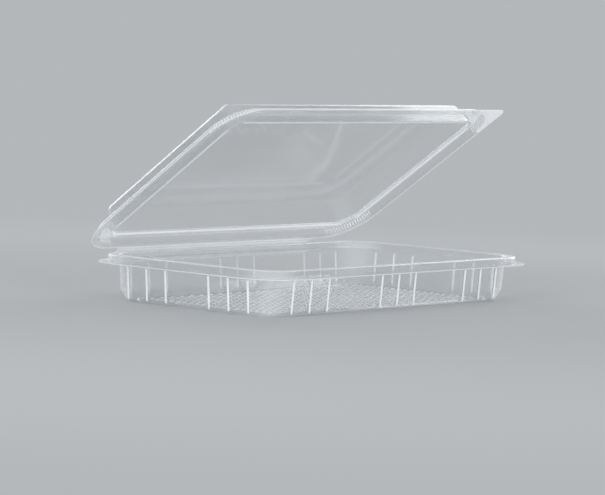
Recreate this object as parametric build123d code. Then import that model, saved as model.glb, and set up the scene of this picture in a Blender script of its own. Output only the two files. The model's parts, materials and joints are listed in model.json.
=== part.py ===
from build123d import *
import os
from math import atan2, cos, degrees, radians, tan

# Clear hinged clamshell pack, drawn from one sheet: a shallow ribbed tray and a shallow domed lid.
# Millimetres, +Z up. The origin is the middle of the face that the tray stands on.
# +X runs along the hinge and +Y points to the hinge side. The lid stands part open.

# Sheet and fit
sheet = 0.4
nest_clearance = 0.5
cut_overrun = 5.0

# Rim, the same on tray and lid; insets count inward from the outer foot of the tray's bead
rim_length = 240.0
rim_width = 143.5
rim_radius = 21.5
bead_width = 6.4
bead_height = 4.4
bead_draft_angle = 6.0
bead_round = 1.2
lip_reach = 5.5

# Tray wall, bevel and floor
tray_height = 27.4
shoulder_width = 0.6
wall_draft_angle = 4.5
bevel_height = 6.6
bevel_inset = 4.3
foot_round = 1.4
channel_margin = 4.0
channel_width = 4.0
channel_rise = 1.0
channel_corner = 8.0
channel_draft_angle = 45.0

# Wall ribs, in groups; a group's spacing is a share of the wall's straight run
rib_width = 2.0
rib_depth = 1.5
rib_pitch = 15.4
rib_round = 0.8
rib_foot = 2.0
rib_base = 0.6
rib_head = 1.0
long_group_share = 0.399
short_group_share = 0.65
ribs_per_group_count = 3
long_group_count = 3
short_group_count = 2

# Lid; its dome has tighter corners than the rim
plug_depth = 3.4
plug_clearance = 0.9
groove_width = 1.9
lid_rise = 16.5
lid_inset = 4.0
dome_corner_share = 0.64
crown_round_share = 0.8
tab_round = 5.0

# Hinge along the back: a flat strip beyond the lip, then a slope down to the fold
strip_flat = 4.5
fold_run = 5.5
fold_drop = 4.0
fold_gap = 0.2
hinge_share = 0.89
hinge_blend_share = 0.85
hinge_round = 2.0
rest_opening_angle = 35.1

# Levels and insets that follow from the sizes above
long_run = rim_length - 2 * rim_radius
short_run = rim_width - 2 * rim_radius
lip_level = tray_height - bead_height
wall_inset = bead_width + shoulder_width
wall_slope = tan(radians(wall_draft_angle))
bevel_top_inset = wall_inset + (lip_level - bevel_height) * wall_slope
bevel_draft_angle = degrees(atan2(bevel_inset, bevel_height))
hinge_length = hinge_share * long_run
strip_end = rim_width / 2 + lip_reach + strip_flat
hinge_y = strip_end + fold_run
hinge_z = lip_level + nest_clearance / 2 - fold_drop
lid_lip_level = lip_level + nest_clearance
lid_bead_inset = -(nest_clearance + sheet)
lid_bead_top = tray_height + nest_clearance + sheet
lid_groove_level = tray_height - plug_depth
lid_leg_inset = bead_width + plug_clearance
lid_wall_inset = lid_leg_inset + sheet + groove_width
lid_draft_angle = degrees(atan2(lid_inset, lid_rise))
dome_corner = dome_corner_share * (rim_radius - lid_wall_inset)
crown_level = lid_groove_level + lid_rise
crown_round = crown_round_share * (dome_corner - lid_inset)


def rim_outline(inset, corner=rim_radius):
    """Rounded rectangle of the rim, set in by an inset; `corner` is its radius before that."""
    return RectangleRounded(rim_length - 2 * inset, rim_width - 2 * inset, corner - inset)


def drafted(inset, level, bottom, top, draft, corner=rim_radius):
    """Block from bottom to top whose sides stand at an inset at one level and lean in as they rise."""
    wide_end = bottom if draft > 0 else top
    wide_inset = inset + (wide_end - level) * tan(radians(draft))
    block = extrude(rim_outline(wide_inset, corner), amount=top - bottom, taper=abs(draft))
    if draft < 0:
        block = Rot(180, 0, 0) * block
    return Pos(0, 0, wide_end) * block


def plate(outline, bottom):
    """One thickness of sheet lying flat."""
    return Pos(0, 0, bottom) * extrude(outline, amount=sheet)


def lip_outline():
    """Lip round the rim, with the flat strip along the back that leads to the hinge."""
    strip_reach = strip_end - rim_width / 2
    strip = Pos(0, rim_width / 2 + strip_reach / 2) * Rectangle(hinge_length, strip_reach)
    outline = rim_outline(-lip_reach) + strip
    ends = outline.vertices().filter_by(lambda v: abs(abs(v.X) - hinge_length / 2) < sheet)
    return fillet(ends.group_by(Axis.Y)[0], hinge_blend_share * strip_flat)


def fold_strip(bottom):
    """End of the back strip that slopes down to the fold, with its two corners rounded."""
    fall_angle = atan2(fold_drop, fold_run)
    end = hinge_y - fold_gap
    end_top = bottom + sheet - (end - strip_end) * tan(fall_angle)
    upright = sheet / cos(fall_angle)
    side = Polyline(
        (strip_end - 2 * sheet, bottom + sheet),
        (strip_end, bottom + sheet),
        (end, end_top),
        (end, end_top - upright),
        (strip_end - (upright - sheet) / tan(fall_angle), bottom),
        (strip_end - 2 * sheet, bottom),
        close=True,
    )
    strip = extrude(make_face(Plane.YZ * side), amount=hinge_length / 2, both=True)
    plan = RectangleRounded(hinge_length, 2 * (strip_flat + fold_run), hinge_round)
    column = extrude(plan, amount=fold_drop + cut_overrun, both=True)
    return strip & (Pos(0, end - strip_flat - fold_run, bottom) * column)


def lift_tab():
    """Corner of the lid's lip left nearly square, to pull the lid up by."""
    reach = rim_radius + lip_reach
    corner = Rectangle(reach, reach)
    tip = corner.vertices().group_by(Axis.Y)[0].sort_by(Axis.X)[-1]
    corner = fillet(tip, tab_round)
    return Pos(rim_length / 2 + lip_reach - reach / 2, -rim_width / 2 - lip_reach + reach / 2) * corner


def bead(outer_inset, inner_inset, bottom, top, leg_bottom):
    """Upturned channel of sheet: an outer leg, a rounded top and an inner leg."""
    draft = bead_draft_angle
    base = bottom - cut_overrun
    hat = drafted(outer_inset, lip_level, bottom, top, draft)
    hat -= drafted(inner_inset, lip_level, base, top + cut_overrun, -draft)
    hat = fillet(hat.edges().group_by(Axis.Z)[-1], bead_round)
    hollow = drafted(outer_inset + sheet, lip_level, base, top - sheet, draft)
    hollow -= drafted(inner_inset - sheet, lip_level, leg_bottom, top, -draft)
    hollow = fillet(hollow.edges().group_by(Axis.Z)[-1], bead_round - sheet)
    return hat - hollow


def rib(thin):
    """One upright flute on a wall that faces -Y, its ends sloped back, thinner by `thin` all round."""
    head = lip_level - rib_head
    head_y = rib_head * wall_slope - rib_depth
    foot_y = (lip_level - rib_foot) * wall_slope - rib_depth
    slope_y = foot_y + rib_foot - rib_base
    root_y = slope_y + bevel_inset + rib_width
    side = Polyline(
        (head_y, head - rib_depth),
        (foot_y, rib_foot),
        (slope_y, rib_base),
        (root_y, rib_base),
        (root_y, head),
        (head_y + rib_depth, head),
        close=True,
    )
    profile = make_face(Plane.YZ * side)
    if thin:
        profile = offset(profile, amount=-thin, kind=Kind.INTERSECTION)
    flute = extrude(profile, amount=rib_width / 2 - thin, both=True)
    nose = flute.edges().filter_by(Axis.X, reverse=True).filter_by(lambda e: e.center().Y < slope_y)
    return fillet(nose, rib_round - thin)


def rib_row(groups, spacing):
    """Places of the ribs along one wall."""
    places = []
    for group in range(groups):
        middle = (group - (groups - 1) / 2) * spacing
        for step in range(ribs_per_group_count):
            places.append(middle + (step - (ribs_per_group_count - 1) / 2) * rib_pitch)
    return places


def all_ribs(thin):
    """Ribs on the four walls."""
    one = rib(thin)
    long_wall = rim_width / 2 - wall_inset
    short_wall = rim_length / 2 - wall_inset
    ribs = []
    for turn in (0, 180):
        for place in rib_row(long_group_count, long_group_share * long_run):
            ribs.append(Rot(0, 0, turn) * Pos(place, -long_wall, 0) * one)
    for turn in (90, 270):
        for place in rib_row(short_group_count, short_group_share * short_run):
            ribs.append(Rot(0, 0, turn) * Pos(place, -short_wall, 0) * one)
    return ribs


def floor_channel():
    """Stiffening channel pressed up into the floor, a border round its flat middle."""
    outer = bevel_top_inset + bevel_inset + channel_margin
    inner = outer + channel_width
    corner = channel_corner + outer
    ring = drafted(outer, 0, 0, channel_rise, channel_draft_angle, corner)
    return ring - drafted(inner, 0, 0, channel_rise, -channel_draft_angle, corner)


def tub(thin):
    """Tray's body as a solid block, thinner by `thin` on the sides and the bottom."""
    top = lip_level + (cut_overrun if thin else 0)
    wall = drafted(wall_inset + thin, lip_level, bevel_height, top, -wall_draft_angle)
    bevel = drafted(bevel_top_inset + thin, bevel_height, thin, bevel_height, -bevel_draft_angle)
    bevel = fillet(bevel.edges().group_by(Axis.Z)[0], foot_round - thin)
    block = wall + bevel
    block += all_ribs(thin)
    return block - Pos(0, 0, thin) * floor_channel()


def make_tray():
    """Ribbed tray with its rim bead, lip and back strip."""
    body = tub(0) - tub(sheet)
    shoulder = rim_outline(bead_width - sheet) - rim_outline(wall_inset + sheet)
    body += plate(shoulder, lip_level - sheet)
    body += bead(0, bead_width, lip_level - sheet, tray_height, lip_level - cut_overrun)
    body += plate(lip_outline() - rim_outline(sheet), lip_level - sheet)
    return body + fold_strip(lip_level - sheet)


def make_lid():
    """Domed lid as it lies closed, its bead over the tray's."""
    foot = lid_groove_level
    corner = dome_corner + lid_wall_inset
    dome = drafted(lid_wall_inset, foot, foot, crown_level, lid_draft_angle, corner)
    dome = fillet(dome.edges().group_by(Axis.Z)[-1], crown_round)
    inner_inset = lid_wall_inset + sheet
    inside = drafted(inner_inset, foot, foot, crown_level - sheet, lid_draft_angle, corner)
    inside = fillet(inside.edges().group_by(Axis.Z)[-1], crown_round - sheet)
    body = dome - inside
    leg_inset = lid_leg_inset - (foot - lip_level) * tan(radians(bead_draft_angle))
    body += plate(rim_outline(leg_inset) - rim_outline(inner_inset, corner), foot)
    body += bead(lid_bead_inset, lid_leg_inset + sheet, lid_lip_level, lid_bead_top, foot)
    body += plate(lip_outline() + lift_tab() - rim_outline(-nest_clearance), lid_lip_level)
    return body + fold_strip(lid_lip_level)


def swing_open(shape, angle):
    """Turn the lid up about the fold."""
    fold = Axis((0, hinge_y, hinge_z), (-1, 0, 0))
    return shape.rotate(fold, angle)


os.makedirs("parts", exist_ok=True)
export_step(make_tray(), "parts/base_tray.step")
export_step(swing_open(make_lid(), rest_opening_angle), "parts/lid.step")
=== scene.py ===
# %% [markdown]
# # A clear hinged food pack
# The pack is one thin clear sheet, drawn by heat into a ribbed tray and a domed lid that stay joined along a
# fold. The packed model already holds both halves at their true size. This lesson gives them the look of
# clear formed sheet and adds what is pressed into it too finely for the solids: the studs on the floor, the
# flutes in the lid's corners and the fold itself.

# %% Load the packed model
import json
import math

import bpy
from mathutils import Matrix, Vector


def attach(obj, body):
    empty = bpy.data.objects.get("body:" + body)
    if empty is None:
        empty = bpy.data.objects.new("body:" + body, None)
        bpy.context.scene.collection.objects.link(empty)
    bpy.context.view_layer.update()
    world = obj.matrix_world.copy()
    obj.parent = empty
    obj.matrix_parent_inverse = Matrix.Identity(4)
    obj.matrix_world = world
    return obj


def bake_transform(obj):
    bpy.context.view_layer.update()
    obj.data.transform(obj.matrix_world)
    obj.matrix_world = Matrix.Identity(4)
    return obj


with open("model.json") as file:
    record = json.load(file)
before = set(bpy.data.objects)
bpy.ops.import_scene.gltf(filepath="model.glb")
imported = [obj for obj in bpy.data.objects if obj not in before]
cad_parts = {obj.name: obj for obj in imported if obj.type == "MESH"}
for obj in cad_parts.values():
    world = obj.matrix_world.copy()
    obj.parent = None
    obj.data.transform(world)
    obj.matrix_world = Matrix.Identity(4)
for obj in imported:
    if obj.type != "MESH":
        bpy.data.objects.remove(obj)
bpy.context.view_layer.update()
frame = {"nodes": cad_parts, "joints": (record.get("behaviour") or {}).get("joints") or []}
print("halves:", sorted(frame["nodes"]))

# %% [markdown]
# ## Sizes of the sheet
# The solids carry these sizes in millimetres, and the finishes need some of them again, so that a haze can
# sit on a rib and a flute on the bead. They could be measured on the meshes, but a written size is easier to
# follow. An inset counts inward from the outer foot of the tray's bead, as a mould maker would measure it.
# The fold is the lid's joint in the packed model, so it is read from there.

# %% Sizes in millimetres, and the fold
MM = 0.001
RIM_LENGTH, RIM_WIDTH, RIM_RADIUS = 240.0, 143.5, 21.5
STRAIGHT_X = RIM_LENGTH / 2 - RIM_RADIUS
STRAIGHT_Y = RIM_WIDTH / 2 - RIM_RADIUS
LIP_LEVEL, LIP_REACH, BEAD_TOP = 23.0, 5.5, 27.4
hinge = frame["joints"][0]
FOLD = Vector(hinge["pos_m"])
FOLD_AXIS = Vector(hinge["axis"])
OPENING = math.radians(-hinge["range_deg"][0])
print("the rim is straight up to", STRAIGHT_X, "and", STRAIGHT_Y, "mm from its middle")
print("the lid stands open by", round(math.degrees(OPENING), 1), "degrees about", [round(v, 5) for v in FOLD])

# %% [markdown]
# ## A small language for finishes
# A finish is a chain of shader nodes, and most of that chain is sums. Linking Math nodes one by one hides the
# sum, so a small class wraps a socket and lets plain operators such as + and * add the nodes. Every other
# node comes from one method, which takes the node's type, its settings and its sockets.

# %% A wire that can be added and multiplied
class Wire:
    """A shader socket that can stand in a sum."""

    def __init__(self, tree, made=None, out=0):
        self.tree, self.made = tree, made
        self.socket = made.outputs[out] if made and made.outputs else None

    def node(self, kind, settings=None, sockets=None, out=0):
        """Add a node: its type, its settings, which are set first, and its sockets' values or links."""
        made = self.tree.nodes.new("ShaderNode" + kind)
        for name, value in (settings or {}).items():
            setattr(made, name, value)
        for name, value in (sockets or {}).items():
            if isinstance(value, Wire):
                self.tree.links.new(value.socket, made.inputs[name])
            else:
                made.inputs[name].default_value = value
        return Wire(self.tree, made, out)

    def other(self, out):
        """Another output of the same node."""
        return Wire(self.tree, self.made, out)

    def math(self, operation, *values):
        """A Math node on this wire and further values."""
        return self.node("Math", {"operation": operation}, dict(enumerate((self, *values))))

    def rise(self, low, high):
        """0 below `low`, 1 above `high`, and a smooth step between."""
        ends = {"Value": self, "From Min": low, "From Max": high}
        return self.node("MapRange", {"interpolation_type": "SMOOTHSTEP"}, ends)

    def __add__(self, value):
        return self.math("ADD", value)

    def __sub__(self, value):
        return self.math("SUBTRACT", value)

    def __rsub__(self, value):
        return self.node("Math", {"operation": "SUBTRACT"}, {0: value, 1: self})

    def __mul__(self, value):
        return self.math("MULTIPLY", value)

    def __pow__(self, value):
        return self.math("POWER", value)

    def __rtruediv__(self, value):
        return self.node("Math", {"operation": "DIVIDE"}, {0: value, 1: self})

    def __abs__(self):
        return self.math("ABSOLUTE")

    __radd__ = __add__
    __rmul__ = __mul__


def new_finish(name):
    """An empty material and the bench to build its nodes on."""
    finish = bpy.data.materials.new(name)
    finish.use_nodes = True
    finish.node_tree.nodes.clear()
    return finish, Wire(finish.node_tree)


print("besides sums, a wire has:", ", ".join(name for name in vars(Wire) if not name.startswith("_")))

# %% [markdown]
# ## Where a point lies on the sheet
# Ribs, bead, lip and tab can be told apart by two numbers: the height and the inset from the rim's outline.
# The outline is a rectangle with round corners, and the inset follows from how far a point lies beyond the
# straight part on each side. Painting masks by hand would work as well, but a sum stays sharp at any size.
# The lid stands open, so its points are first turned back to the closed pack.

# %% Place, height and inset as wires
def place_on_pack(bench, opening=0.0):
    """Where a point lies on the closed pack, in millimetres."""
    place = bench.node("TexCoord", out="Object")
    if opening:
        turn = {"Vector": place, "Center": FOLD, "Axis": FOLD_AXIS, "Angle": -opening}
        place = bench.node("VectorRotate", {"rotation_type": "AXIS_ANGLE"}, turn)
    return bench.node("VectorMath", {"operation": "SCALE"}, {"Vector": place, "Scale": 1 / MM})


def axes_of(place):
    """Length along the fold, width towards it and height of a place."""
    x = place.node("SeparateXYZ", sockets={"Vector": place})
    return x, x.other("Y"), x.other("Z")


def inset_at(x, y):
    """How far a point lies inside the rim's outline; outside it the inset is negative."""
    over_x = (abs(x) - STRAIGHT_X).math("MAXIMUM", 0)
    over_y = (abs(y) - STRAIGHT_Y).math("MAXIMUM", 0)
    return RIM_RADIUS - (over_x * over_x + over_y * over_y).math("SQRT")


print("insets count from an outline of", RIM_LENGTH, "by", RIM_WIDTH, "mm with corners of", RIM_RADIUS, "mm")

# %% [markdown]
# ## The clear formed sheet
# Clear sheet is nearly invisible: it lets the light through with a faint cool tint, mirrors about 4 % of what
# it faces and nearly everything at a glancing angle, and it scatters a little light where drawing has
# stretched it. Real refraction would be slow and would give this thin sheet hard black shadows, so the body
# is a Transparent shader. A Glossy shader, whose node type is BsdfAnisotropic, lies over it by the angle of
# sight, and a white film where the masks say. That film is partly the real milky stretch of the sheet and
# partly painted highlight, laid on ribs, crests and edges where bright glints would run. Seen along its
# length the sheet is deeper, so the film thickens there, and more steeply than the path alone gives, as a
# painted brightening of the outlines; light from behind shines through it.

# %% Layers of clear sheet
SHEET_TINT = (0.97, 0.976, 0.981, 1)
FACING_GLOSS, GLANCING_GLOSS, GLOSS_POWER = 0.04, 0.9, 4
MIRROR_ROUGHNESS, FILM_IOR = 0.09, 1.5
# The power above 1 thickens the film faster than the true path does, a painted brightening of outlines.
MOST_HAZE, LEAST_FACING, DEPTH_AND_OUTLINE_GLINT_POWER = 0.9, 0.12, 1.5
WAVE_STRENGTH, WAVE_HEIGHT = 0.06, 0.0004
# These film colours serve both the real milky haze and the painted highlights on ribs, crests and edges.
MILK_AND_GLINT_COOL, MILK_AND_GLINT_PALE = (0.91, 0.93, 0.95, 1), (0.96, 0.97, 0.975, 1)
MILK_AND_GLINT_GLOW, GLOW_SHARE = (0.96, 0.965, 0.97, 1), 0.5


def sheet_layers(bench, haze_and_painted_glint, blotch, wave, roughness):
    """Clear body, mirror gloss by the angle of sight, and a white film that is partly real haze and partly
    painted highlight.
    """
    facing = bench.node("LayerWeight", sockets={"Blend": 0.5}, out="Facing")
    glance = FACING_GLOSS + GLANCING_GLOSS * facing ** GLOSS_POWER
    # Painted brightening of outlines: the film grows faster at a glance than the path through the sheet.
    depth_and_outline_glint = 1 / (1 - facing).math("MAXIMUM", LEAST_FACING) ** DEPTH_AND_OUTLINE_GLINT_POWER
    cloud_and_painted_glint = 1 - (1 - haze_and_painted_glint.math("MINIMUM", MOST_HAZE)) ** depth_and_outline_glint
    swell = {"Strength": WAVE_STRENGTH, "Distance": WAVE_HEIGHT, "Height": wave}
    relief = bench.node("Bump", sockets=swell)
    body = bench.node("BsdfTransparent", sockets={"Color": SHEET_TINT})
    mirror = bench.node("BsdfAnisotropic", sockets={"Roughness": MIRROR_ROUGHNESS, "Normal": relief})
    clear = bench.node("MixShader", sockets={0: glance, 1: body, 2: mirror})
    tones = {0: blotch, 6: MILK_AND_GLINT_COOL, 7: MILK_AND_GLINT_PALE}
    milk_and_glint_tone = bench.node("Mix", {"data_type": "RGBA"}, tones, out=2)
    skin = {"Base Color": milk_and_glint_tone, "Roughness": roughness, "Normal": relief, "IOR": FILM_IOR}
    front_lit = bench.node("BsdfPrincipled", sockets=skin)
    back_lit = bench.node("BsdfTranslucent", sockets={"Color": MILK_AND_GLINT_GLOW})
    film = bench.node("MixShader", sockets={0: GLOW_SHARE, 1: front_lit, 2: back_lit})
    surface = bench.node("MixShader", sockets={0: cloud_and_painted_glint, 1: clear, 2: film})
    bench.node("OutputMaterial", sockets={"Surface": surface})


most_gloss = round(FACING_GLOSS + GLANCING_GLOSS, 2)
print("the sheet mirrors", FACING_GLOSS, "of what it faces and", most_gloss, "at a glance")

# %% [markdown]
# ## Haze and painted highlights on the tray
# Drawing clouds the sheet where it goes over a sharp edge of the mould, and the cutter leaves a milky edge.
# On the tray that shows on the noses of the ribs, the top of the bead, the round corners and the lip's edge.
# On the rib noses, the bead and the corners the white is laid on far stronger than the stretch gives, as
# painted highlight: it stands for the glints along ribs and bead and the bright outline at the corners. Each
# is a smooth step in height or inset, so it stays on its form. Soft noise varies the rest, because no formed
# sheet is evenly clear. One even haze would be simpler, but it would hide how the tray is ribbed.

# %% Masks for both halves, and how a half is dressed
BROAD_BLOTCH, BROAD_WAVE, NOISE_DETAIL = 0.05, 0.12, 3.0
CORNER_BEFORE, CORNER_AFTER = 5, 10
STRIP_FADE = 0.5
EDGE_START, EDGE_FULL = LIP_REACH - 0.25, LIP_REACH - 0.1


def patches(bench, place, scale):
    """Soft blotches of stretched sheet, about 0 to 1."""
    return bench.node("TexNoise", sockets={"Vector": place, "Scale": scale, "Detail": NOISE_DETAIL})


def round_corners(x, y):
    """1 where the rim goes round its four corners, 0 along the straight sides."""
    ends = abs(x).rise(STRAIGHT_X - CORNER_BEFORE, STRAIGHT_X + CORNER_AFTER)
    return ends * abs(y).rise(STRAIGHT_Y - CORNER_BEFORE, STRAIGHT_Y + CORNER_AFTER)


def back_strip(y):
    """1 on the strip that leads from the lip to the fold."""
    lip_end = RIM_WIDTH / 2 + LIP_REACH
    return y.rise(lip_end - STRIP_FADE, lip_end + STRIP_FADE)


def cut_edge(inset):
    """1 along the cut edge of the lip."""
    return (0 - inset).rise(EDGE_START, EDGE_FULL)


def dress(node, finish):
    """Give one packed half its finish."""
    mesh = frame["nodes"][node].data
    mesh.materials.clear()
    mesh.materials.append(finish)
    print(node, "takes", finish.name, "with", len(finish.node_tree.nodes), "nodes")


print("the cut edge is hazy from", EDGE_START, "mm outside the rim's outline")

# %% Tray finish
WALL_INSET, WALL_SLOPE = 7.0, math.tan(math.radians(4.5))
NOSE_START, NOSE_FULL = 1.15, 1.4


def tray_finish():
    """The tray: milky ribs, bead, corners and cut edge, the ribs, bead and corners whitened further as
    painted highlight.
    """
    finish, bench = new_finish("clear_sheet_tray")
    place = place_on_pack(bench)
    x, y, z = axes_of(place)
    inset = inset_at(x, y)
    wall = WALL_INSET + (LIP_LEVEL - z) * WALL_SLOPE
    below_lip = 1 - z.rise(LIP_LEVEL - 1.6, LIP_LEVEL - 0.8)
    ribs = (wall - inset).rise(NOSE_START, NOSE_FULL) * below_lip
    bead = z.rise(BEAD_TOP - 1.0, BEAD_TOP - 0.3)
    corner = round_corners(x, y) * z.rise(0.3, 1)
    strip = back_strip(y)
    blotch = patches(bench, place, BROAD_BLOTCH)
    haze_and_painted_glint = 0.012 + 0.02 * blotch
    # The white on rib noses, bead and corners is partly real milky stretch and partly painted highlight.
    haze_and_painted_glint += 0.88 * ribs
    haze_and_painted_glint += 0.08 * bead
    haze_and_painted_glint += 0.08 * corner
    haze_and_painted_glint += 0.03 * strip
    haze_and_painted_glint += 0.7 * cut_edge(inset) * (1 - strip)
    sheet_layers(bench, haze_and_painted_glint, blotch, patches(bench, place, BROAD_WAVE), 0.16 + 0.2 * blotch)
    return finish


dress("base_tray", tray_finish())

# %% [markdown]
# ## Haze and painted highlights on the lid
# The lid is drawn less deep and is clearer. Its bead, the groove at the foot of the dome and its corners are
# whitened, partly as real milky sheet and partly as painted highlight along the lines where glints would run,
# and the lift tab is frosted with a fine grain so that fingers hold it. A texture of cells gives that grain;
# real dimples would be finer than the picture shows.

# %% Lid finish
GROOVE_LEVEL, CROWN_LEVEL = 24.0, 40.5
TAB_X, TAB_Y, TAB_FADE = 99, 51, 4
TAB_GRAIN = 1.3


def lid_finish():
    """The lid: milky bead, groove, corners and cut edge, the first three whitened further as painted
    highlight, and a frosted lift tab.
    """
    finish, bench = new_finish("clear_sheet_lid")
    place = place_on_pack(bench, OPENING)
    x, y, z = axes_of(place)
    inset = inset_at(x, y)
    bead = z.rise(BEAD_TOP - 0.3, BEAD_TOP + 0.4) * (1 - inset.rise(7.6, 8.4))
    groove = (1 - z.rise(GROOVE_LEVEL + 0.5, GROOVE_LEVEL + 1.4)) * inset.rise(8.6, 9.4)
    corner = round_corners(x, y) * (1 - z.rise(CROWN_LEVEL - 1.5, CROWN_LEVEL - 0.5))
    strip = back_strip(y)
    tab = (0 - inset).rise(0.8, 2.2) * x.rise(TAB_X, TAB_X + TAB_FADE)
    tab *= (0 - y).rise(TAB_Y, TAB_Y + TAB_FADE)
    frost = bench.node("TexVoronoi", sockets={"Vector": place, "Scale": TAB_GRAIN}, out="Distance")
    blotch = patches(bench, place, BROAD_BLOTCH)
    haze_and_painted_glint = 0.006 + 0.012 * blotch
    # Bead, groove and corners: part real milky sheet, part painted highlight along their lines.
    haze_and_painted_glint += 0.1 * bead
    haze_and_painted_glint += 0.4 * groove
    haze_and_painted_glint += 0.03 * corner
    haze_and_painted_glint += 0.05 * strip
    haze_and_painted_glint += 0.5 * cut_edge(inset) * (1 - strip)
    haze_and_painted_glint += tab * (0.5 + 0.4 * frost)
    roughness = 0.14 + 0.2 * blotch + 0.3 * tab
    sheet_layers(bench, haze_and_painted_glint, blotch, patches(bench, place, BROAD_WAVE), roughness)
    return finish


dress("lid", lid_finish())

# %% [markdown]
# ## Pieces as plain meshes
# The studs, the flutes and the fold repeat small forms along rows and curves. Arrays and modifiers could
# make them, but a list of points and faces says exactly where each lies. The points are worked out in
# millimetres on the closed pack. A helper scales them to metres and smooths the mesh, and one turn takes the
# lid's pieces up to where the lid stands.

# %% From points and faces to a piece
LID_TURN = Matrix.Translation(FOLD) @ Matrix.Rotation(OPENING, 4, FOLD_AXIS) @ Matrix.Translation(-FOLD)


def piece(name, points, faces, finish):
    """A smooth mesh in the pack's frame, from points in millimetres."""
    mesh = bpy.data.meshes.new(name)
    mesh.from_pydata([Vector(p) * MM for p in points], [], faces)
    mesh.shade_smooth()
    mesh.materials.append(finish)
    made = bpy.data.objects.new(name, mesh)
    bpy.context.scene.collection.objects.link(made)
    return made


def ring_faces(start, count, rings):
    """Quads between rings of points that lie one after another."""
    faces = []
    for ring in range(rings - 1):
        low = start + ring * count
        for k in range(count):
            after = (k + 1) % count
            faces.append((low + k, low + after, low + count + after, low + count + k))
    return faces


front_edge = LID_TURN @ (Vector((0, -RIM_WIDTH / 2, LIP_LEVEL)) * MM)
print("the turn takes the lid's front edge up to", round(front_edge.z / MM, 1), "mm")

# %% [markdown]
# ## Studs on the floor
# The floor inside the border channel is pressed with rows of small slanted diamonds that keep the food off
# the wet. A bump texture would vanish at this low camera, where the floor is seen along its length, so each
# stud is a low pillow of its own: three rings and a top.

# %% Stud finish
SHEET = 0.4
PANEL_LENGTH, PANEL_WIDTH = 198.8, 102.2
STUD_HEIGHT = 1.0
FINE_BLOTCH, FINE_WAVE = 0.25, 0.6


def pressed_layers(bench, place, blotch, haze_and_painted_glint):
    """Layers of a small pressed piece, with finer waves than the broad sheet has."""
    sheet_layers(bench, haze_and_painted_glint, blotch, patches(bench, place, FINE_WAVE), 0.14 + 0.16 * blotch)


def stud_finish():
    """Studs: clear at the foot, and white on the crest and whitest in the outer rows as painted highlight."""
    finish, bench = new_finish("pressed_studs")
    place = place_on_pack(bench)
    x, y, z = axes_of(place)
    # Painted highlight: crest and outer rows are whitened to stand for the glint each stud catches on top.
    crest = z.rise(SHEET + 0.45 * STUD_HEIGHT, SHEET + 0.85 * STUD_HEIGHT)
    outer_columns = abs(x).rise(PANEL_LENGTH / 2 - 9, PANEL_LENGTH / 2 - 8)
    outer_rows = abs(y).rise(PANEL_WIDTH / 2 - 6, PANEL_WIDTH / 2 - 5)
    outer = outer_columns.math("MAXIMUM", outer_rows) * z.rise(SHEET + 0.1, SHEET + 0.4)
    blotch = patches(bench, place, FINE_BLOTCH)
    pressed_layers(bench, place, blotch, 0.04 + crest * (0.15 + 0.5 * blotch) + 0.6 * outer)
    return finish


pressed_studs = stud_finish()
print("studs take", pressed_studs.name, "with", len(pressed_studs.node_tree.nodes), "nodes")

# %% Pressed studs
STUD_PITCH_X, STUD_PITCH_Y = 8.45, 5.25
STUD_LENGTH, STUD_WIDTH = 5.2, 3.2
STUD_SLANT = math.radians(24)
STUD_SIDES, STUD_POWER = 12, 1.4
STUD_RINGS = ((1.0, -0.05), (0.8, 0.5), (0.45, 0.88))


def pinched(value):
    """Pull a circle's sine or cosine in, so that the circle turns into a soft diamond."""
    return math.copysign(abs(value) ** STUD_POWER, value)


def add_stud(points, faces, middle_x, middle_y):
    """One low pillow on a slanted diamond foot."""
    start = len(points)
    for share, lift in STUD_RINGS:
        for k in range(STUD_SIDES):
            turn = 2 * math.pi * k / STUD_SIDES
            along = pinched(math.cos(turn)) * STUD_LENGTH / 2 * share
            across = pinched(math.sin(turn)) * STUD_WIDTH / 2 * share
            x = middle_x + along * math.cos(STUD_SLANT) - across * math.sin(STUD_SLANT)
            y = middle_y + along * math.sin(STUD_SLANT) + across * math.cos(STUD_SLANT)
            points.append((x, y, SHEET + lift * STUD_HEIGHT))
    top = len(points)
    points.append((middle_x, middle_y, SHEET + STUD_HEIGHT))
    faces.extend(ring_faces(start, STUD_SIDES, len(STUD_RINGS)))
    last = top - STUD_SIDES
    faces.extend((last + k, last + (k + 1) % STUD_SIDES, top) for k in range(STUD_SIDES))


columns = int((PANEL_LENGTH - STUD_LENGTH) / STUD_PITCH_X) + 1
rows = int((PANEL_WIDTH - STUD_LENGTH) / STUD_PITCH_Y) + 1
points, faces = [], []
for column in range(columns):
    stud_x = (column - (columns - 1) / 2) * STUD_PITCH_X
    for row in range(rows):
        stud_y = (row - (rows - 1) / 2) * STUD_PITCH_Y
        add_stud(points, faces, stud_x, stud_y)
studs = piece("floor_studs", points, faces, pressed_studs)
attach(studs, "tray_half")
print("studs:", columns, "by", rows, "with", len(faces), "faces")

# %% [markdown]
# ## Flutes in the lid's corners
# Where the lid's rim goes round a corner, the outer leg of its bead is pressed into fine upright flutes,
# which stiffen the corner and give the fingers a grip. They stand on the outside, away from the tray's bead,
# so that the closed lid keeps its clearance. A bump could not show in the outline, so each is a small rounded
# bar.

# %% Flute finish
LEG_RADIUS, LEG_LEAN = 22.4, math.tan(math.radians(6))


def flute_finish():
    """Flutes: clear in the gaps, white along the crest as painted highlight over the milky stretch."""
    finish, bench = new_finish("pressed_flutes")
    place = place_on_pack(bench, OPENING)
    x, y, z = axes_of(place)
    leg = RIM_RADIUS - LEG_RADIUS + (z - LIP_LEVEL) * LEG_LEAN
    crest = (leg - inset_at(x, y)).rise(0.2, 0.5)
    blotch = patches(bench, place, FINE_BLOTCH)
    # Painted highlight: the crest of each flute is whitened to stand for its glint.
    pressed_layers(bench, place, blotch, 0.03 + crest * (0.5 + 0.4 * blotch))
    return finish


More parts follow.
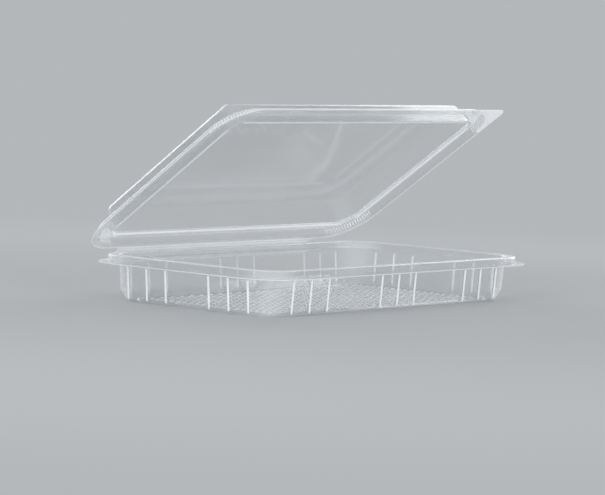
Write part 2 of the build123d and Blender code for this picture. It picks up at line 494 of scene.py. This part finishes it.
pressed_flutes = flute_finish()
print("flutes take", pressed_flutes.name, "with", len(pressed_flutes.node_tree.nodes), "nodes")

# %% Corner flutes
FLUTE_COUNT, FLUTE_RADIUS, FLUTE_SIDES = 19, 0.55, 8
FLUTE_FOOT, FLUTE_HEAD = 23.9, 27.5
FLUTE_SPREAD = math.radians(88)
FLUTE_RINGS = ((0.0, 0.1), (0.06, 0.7), (0.15, 1.0), (0.85, 1.0), (0.94, 0.7), (1.0, 0.1))


def add_flute(points, faces, corner_x, corner_y, turn):
    """One upright round flute half sunk in the leg, its ends rounded off."""
    start = len(points)
    for share, size in FLUTE_RINGS:
        z = FLUTE_FOOT + share * (FLUTE_HEAD - FLUTE_FOOT)
        reach = LEG_RADIUS - (z - LIP_LEVEL) * LEG_LEAN
        for k in range(FLUTE_SIDES):
            side = 2 * math.pi * k / FLUTE_SIDES
            out = reach + FLUTE_RADIUS * size * math.cos(side)
            swing = turn + FLUTE_RADIUS * size * math.sin(side) / reach
            points.append((corner_x + out * math.cos(swing), corner_y + out * math.sin(swing), z))
    faces.extend(ring_faces(start, FLUTE_SIDES, len(FLUTE_RINGS)))
    faces.append(tuple(range(start + FLUTE_SIDES - 1, start - 1, -1)))
    faces.append(tuple(range(len(points) - FLUTE_SIDES, len(points))))


points, faces = [], []
for quarter in range(4):
    middle = math.radians(45 + 90 * quarter)
    corner_x = math.copysign(STRAIGHT_X, math.cos(middle))
    corner_y = math.copysign(STRAIGHT_Y, math.sin(middle))
    for k in range(FLUTE_COUNT):
        turn = middle + FLUTE_SPREAD * (k / (FLUTE_COUNT - 1) - 0.5)
        add_flute(points, faces, corner_x, corner_y, turn)
flutes = piece("corner_flutes", points, faces, pressed_flutes)
flutes.data.transform(LID_TURN)
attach(flutes, "lid_half")
print("flutes:", 4 * FLUTE_COUNT, "with", len(faces), "faces")

# %% [markdown]
# ## The fold
# Tray and lid are the same sheet, and between the two strips it runs on as a thin crease. In the solids they
# end just short of the fold, so that the lid can turn. A narrow curved web closes that gap, built for the lid
# as it stands: it follows the tray at one edge and the lid at the other.

# %% Fold line and finish
STRIP_END_Y, TRAY_END_Z, LID_END_Z = 87.05, 18.9, 19.8
WEB_LAP, WEB_LIFT, WEB_BULGE, WEB_SAG = 0.15, 0.11, 0.45, 0.12
WEB_STEPS = 8


def fold_finish():
    """The crease: milky where the sheet is bent sharply, whiter in patches."""
    finish, bench = new_finish("creased_fold")
    place = place_on_pack(bench)
    blotch = patches(bench, place, FINE_BLOTCH)
    pressed_layers(bench, place, blotch, 0.08 + 0.12 * blotch)
    return finish


def fold_line():
    """Points from the tray's strip round the fold to the lid's strip, in millimetres."""
    first = Vector((0, STRIP_END_Y - WEB_LAP, TRAY_END_Z + WEB_LIFT))
    last = LID_TURN @ (Vector((0, STRIP_END_Y - WEB_LAP, LID_END_Z + WEB_LIFT)) * MM) / MM
    out = Vector((0, FOLD.y / MM + WEB_BULGE, (first.z + last.z) / 2 - WEB_SAG))
    line = []
    for k in range(WEB_STEPS + 1):
        t = k / WEB_STEPS
        line.append(first * (1 - t) ** 2 + out * 2 * t * (1 - t) + last * t * t)
    return line


line = fold_line()
print("the crease spans", round((line[-1] - line[0]).length, 2), "mm from strip to strip")

# %% Fold web
WEB_LENGTH, WEB_THICK, WEB_RUN = 171.0, 0.3, 24
points, faces = [], []
for side in (-0.5, 0.5):
    for k, spot in enumerate(line):
        ahead = line[min(k + 1, WEB_STEPS)] - line[max(k - 1, 0)]
        normal = Vector((0, ahead.z, -ahead.y)).normalized()
        for run in range(WEB_RUN + 1):
            x = (run / WEB_RUN - 0.5) * WEB_LENGTH
            points.append((x, *(spot + normal * side * WEB_THICK).yz))
across = WEB_RUN + 1
layer = across * (WEB_STEPS + 1)
for k in range(WEB_STEPS):
    for run in range(WEB_RUN):
        a = k * across + run
        faces.append((a, a + 1, a + 1 + across, a + across))
        faces.append((layer + a, layer + a + across, layer + a + 1 + across, layer + a + 1))
web = piece("fold_web", points, faces, fold_finish())
line[0] * MM
line[-1] * MM
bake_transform(web)
print("the web runs over", WEB_LENGTH, "mm with", len(faces), "faces")

# %% [markdown]
# ## Floor and background
# Clear sheet shows only what is behind it, so the stage matters more than for other things. A pale grey
# leaves room for white glints above it and for the tint below it. The floor takes the pack's soft shadow near
# the pack and fades to the same even grey as the background, so that no horizon cuts through the lid.

# %% Floor
PALE = (0.46, 0.475, 0.49, 1)
FLOOR_RADIUS, FLOOR_DROP, FLOOR_SIDES = 4.0, 0.0002, 64
SHADOW_FULL, SHADOW_END = 0.22, 0.75
floor_points = [(0, 0, -FLOOR_DROP)]
floor_faces = []
for k in range(FLOOR_SIDES):
    turn = 2 * math.pi * k / FLOOR_SIDES
    floor_points.append((FLOOR_RADIUS * math.cos(turn), FLOOR_RADIUS * math.sin(turn), -FLOOR_DROP))
    floor_faces.append((0, 1 + k, 1 + (k + 1) % FLOOR_SIDES))
floor_mesh = bpy.data.meshes.new("studio_floor")
floor_mesh.from_pydata(floor_points, [], floor_faces)
floor = bpy.data.objects.new("studio_floor", floor_mesh)
bpy.context.scene.collection.objects.link(floor)
floor_finish, bench = new_finish("pale_floor")
near = bench.node("TexCoord", out="Object")
distance = bench.node("VectorMath", {"operation": "LENGTH"}, {"Vector": near}, out="Value")
away = distance.rise(SHADOW_FULL, SHADOW_END)
matt = bench.node("BsdfDiffuse", sockets={"Color": PALE})
even = bench.node("Emission", sockets={"Color": PALE, "Strength": 1.0})
blend = bench.node("MixShader", sockets={0: away, 1: matt, 2: even})
bench.node("OutputMaterial", sockets={"Surface": blend})
floor_mesh.materials.append(floor_finish)
print("the floor reaches", FLOOR_RADIUS, "m and turns even from", SHADOW_FULL, "to", SHADOW_END, "m")

# %% Background
FILL_STRENGTH = 0.3
world = bpy.data.worlds.new("studio_air")
bpy.context.scene.world = world
world.use_nodes = True
world.node_tree.nodes.clear()
bench = Wire(world.node_tree)
path = bench.node("LightPath", out="Is Camera Ray")
seen = (path + path.other("Is Glossy Ray") + path.other("Is Transmission Ray")).math("MINIMUM", 1)
shown = bench.node("Background", sockets={"Color": PALE, "Strength": 1.0})
fill = bench.node("Background", sockets={"Color": (1, 1, 1, 1), "Strength": FILL_STRENGTH})
air = bench.node("MixShader", sockets={0: seen, 1: fill, 2: shown})
bench.node("OutputWorld", sockets={"Surface": air})
print("the background shows", PALE[:3], "and lights the pack with", FILL_STRENGTH)

# %% [markdown]
# ## Soft boxes
# Glossy sheet is lit by what it mirrors. Two large soft boxes behind the pack draw long white glints along
# the bead, the ribs and the crown, as on a product table. One broad box above gives the plain level, and two
# fills beside the camera lift the near walls without being mirrored. Small lamps would be simpler, but the
# sheet would show them as hard spots.

# %% Lamps
CENTRE = (0, 0, 0.05)
BACK_SIZE, BACK_WATTS, FILL_WATTS = (1.3, 1.0), 10.0, 12.5


def soft_box(name, place, size, watts, mirrored=True):
    """A rectangular soft box that faces the pack; the sheet mirrors it unless it is plain fill."""
    lamp = bpy.data.lights.new(name, "AREA")
    lamp.shape = "RECTANGLE"
    lamp.size, lamp.size_y = size
    lamp.energy = watts
    made = bpy.data.objects.new(name, lamp)
    made.location = place
    made.rotation_euler = (Vector(CENTRE) - Vector(place)).to_track_quat("-Z", "Y").to_euler()
    made.visible_camera = False
    made.visible_glossy = mirrored
    bpy.context.scene.collection.objects.link(made)
    print(name, "gives", watts, "W over", size, "m")


soft_box("box_above", (0.1, 0.1, 1.1), (1.2, 1.2), 1.2)
soft_box("box_back_left", (0.3, 1.25, 0.52), BACK_SIZE, BACK_WATTS)
soft_box("box_back_right", (1.28, 0.13, 0.52), BACK_SIZE, BACK_WATTS)
soft_box("fill_left", (-1.36, -0.27, 0.5), (0.8, 0.8), FILL_WATTS, mirrored=False)
soft_box("fill_right", (-0.43, -1.4, 0.3), (0.8, 0.5), FILL_WATTS, mirrored=False)

# %% [markdown]
# ## Camera
# The camera was found from the pack's own straight edges: it stands low at the near corner with a long lens.
# It could be aimed with a constraint, but a place, a direction and a small roll say the same in numbers. Many
# clear layers lie behind one another, so rays are allowed to pass through more of them than usual.

# %% Camera and view
FOCAL_PIXELS, IMAGE_WIDTH, FAR_END = 2769.64, 605, 20
STAND = Vector((-1.26751, -1.10428, 0.15995))
YAW, DIP, ROLL = math.radians(41.363), math.radians(4.37), math.radians(1.927)
CLEAR_LAYERS = 64
ahead = Vector((math.cos(YAW) * math.cos(DIP), math.sin(YAW) * math.cos(DIP), -math.sin(DIP)))
level = Vector((math.sin(YAW), -math.cos(YAW), 0))
above = level.cross(ahead)
right = math.cos(ROLL) * level + math.sin(ROLL) * above
up = math.cos(ROLL) * above - math.sin(ROLL) * level
lens = bpy.data.cameras.new("studio_camera")
lens.sensor_fit = "HORIZONTAL"
lens.lens = FOCAL_PIXELS / IMAGE_WIDTH * lens.sensor_width
lens.clip_end = FAR_END
camera = bpy.data.objects.new("studio_camera", lens)
camera.matrix_world = Matrix.Translation(STAND) @ Matrix((right, up, -ahead)).transposed().to_4x4()
bpy.context.scene.collection.objects.link(camera)
bpy.context.scene.camera = camera
bpy.context.scene.view_settings.view_transform = "Standard"
bpy.context.scene.cycles.transparent_max_bounces = CLEAR_LAYERS
print("lens", round(lens.lens, 1), "mm at", [round(v, 3) for v in STAND])

# %% [markdown]
# ## Size of the added pieces
# The added pieces should not make the pack larger than the solids, apart from a hair at the fold.
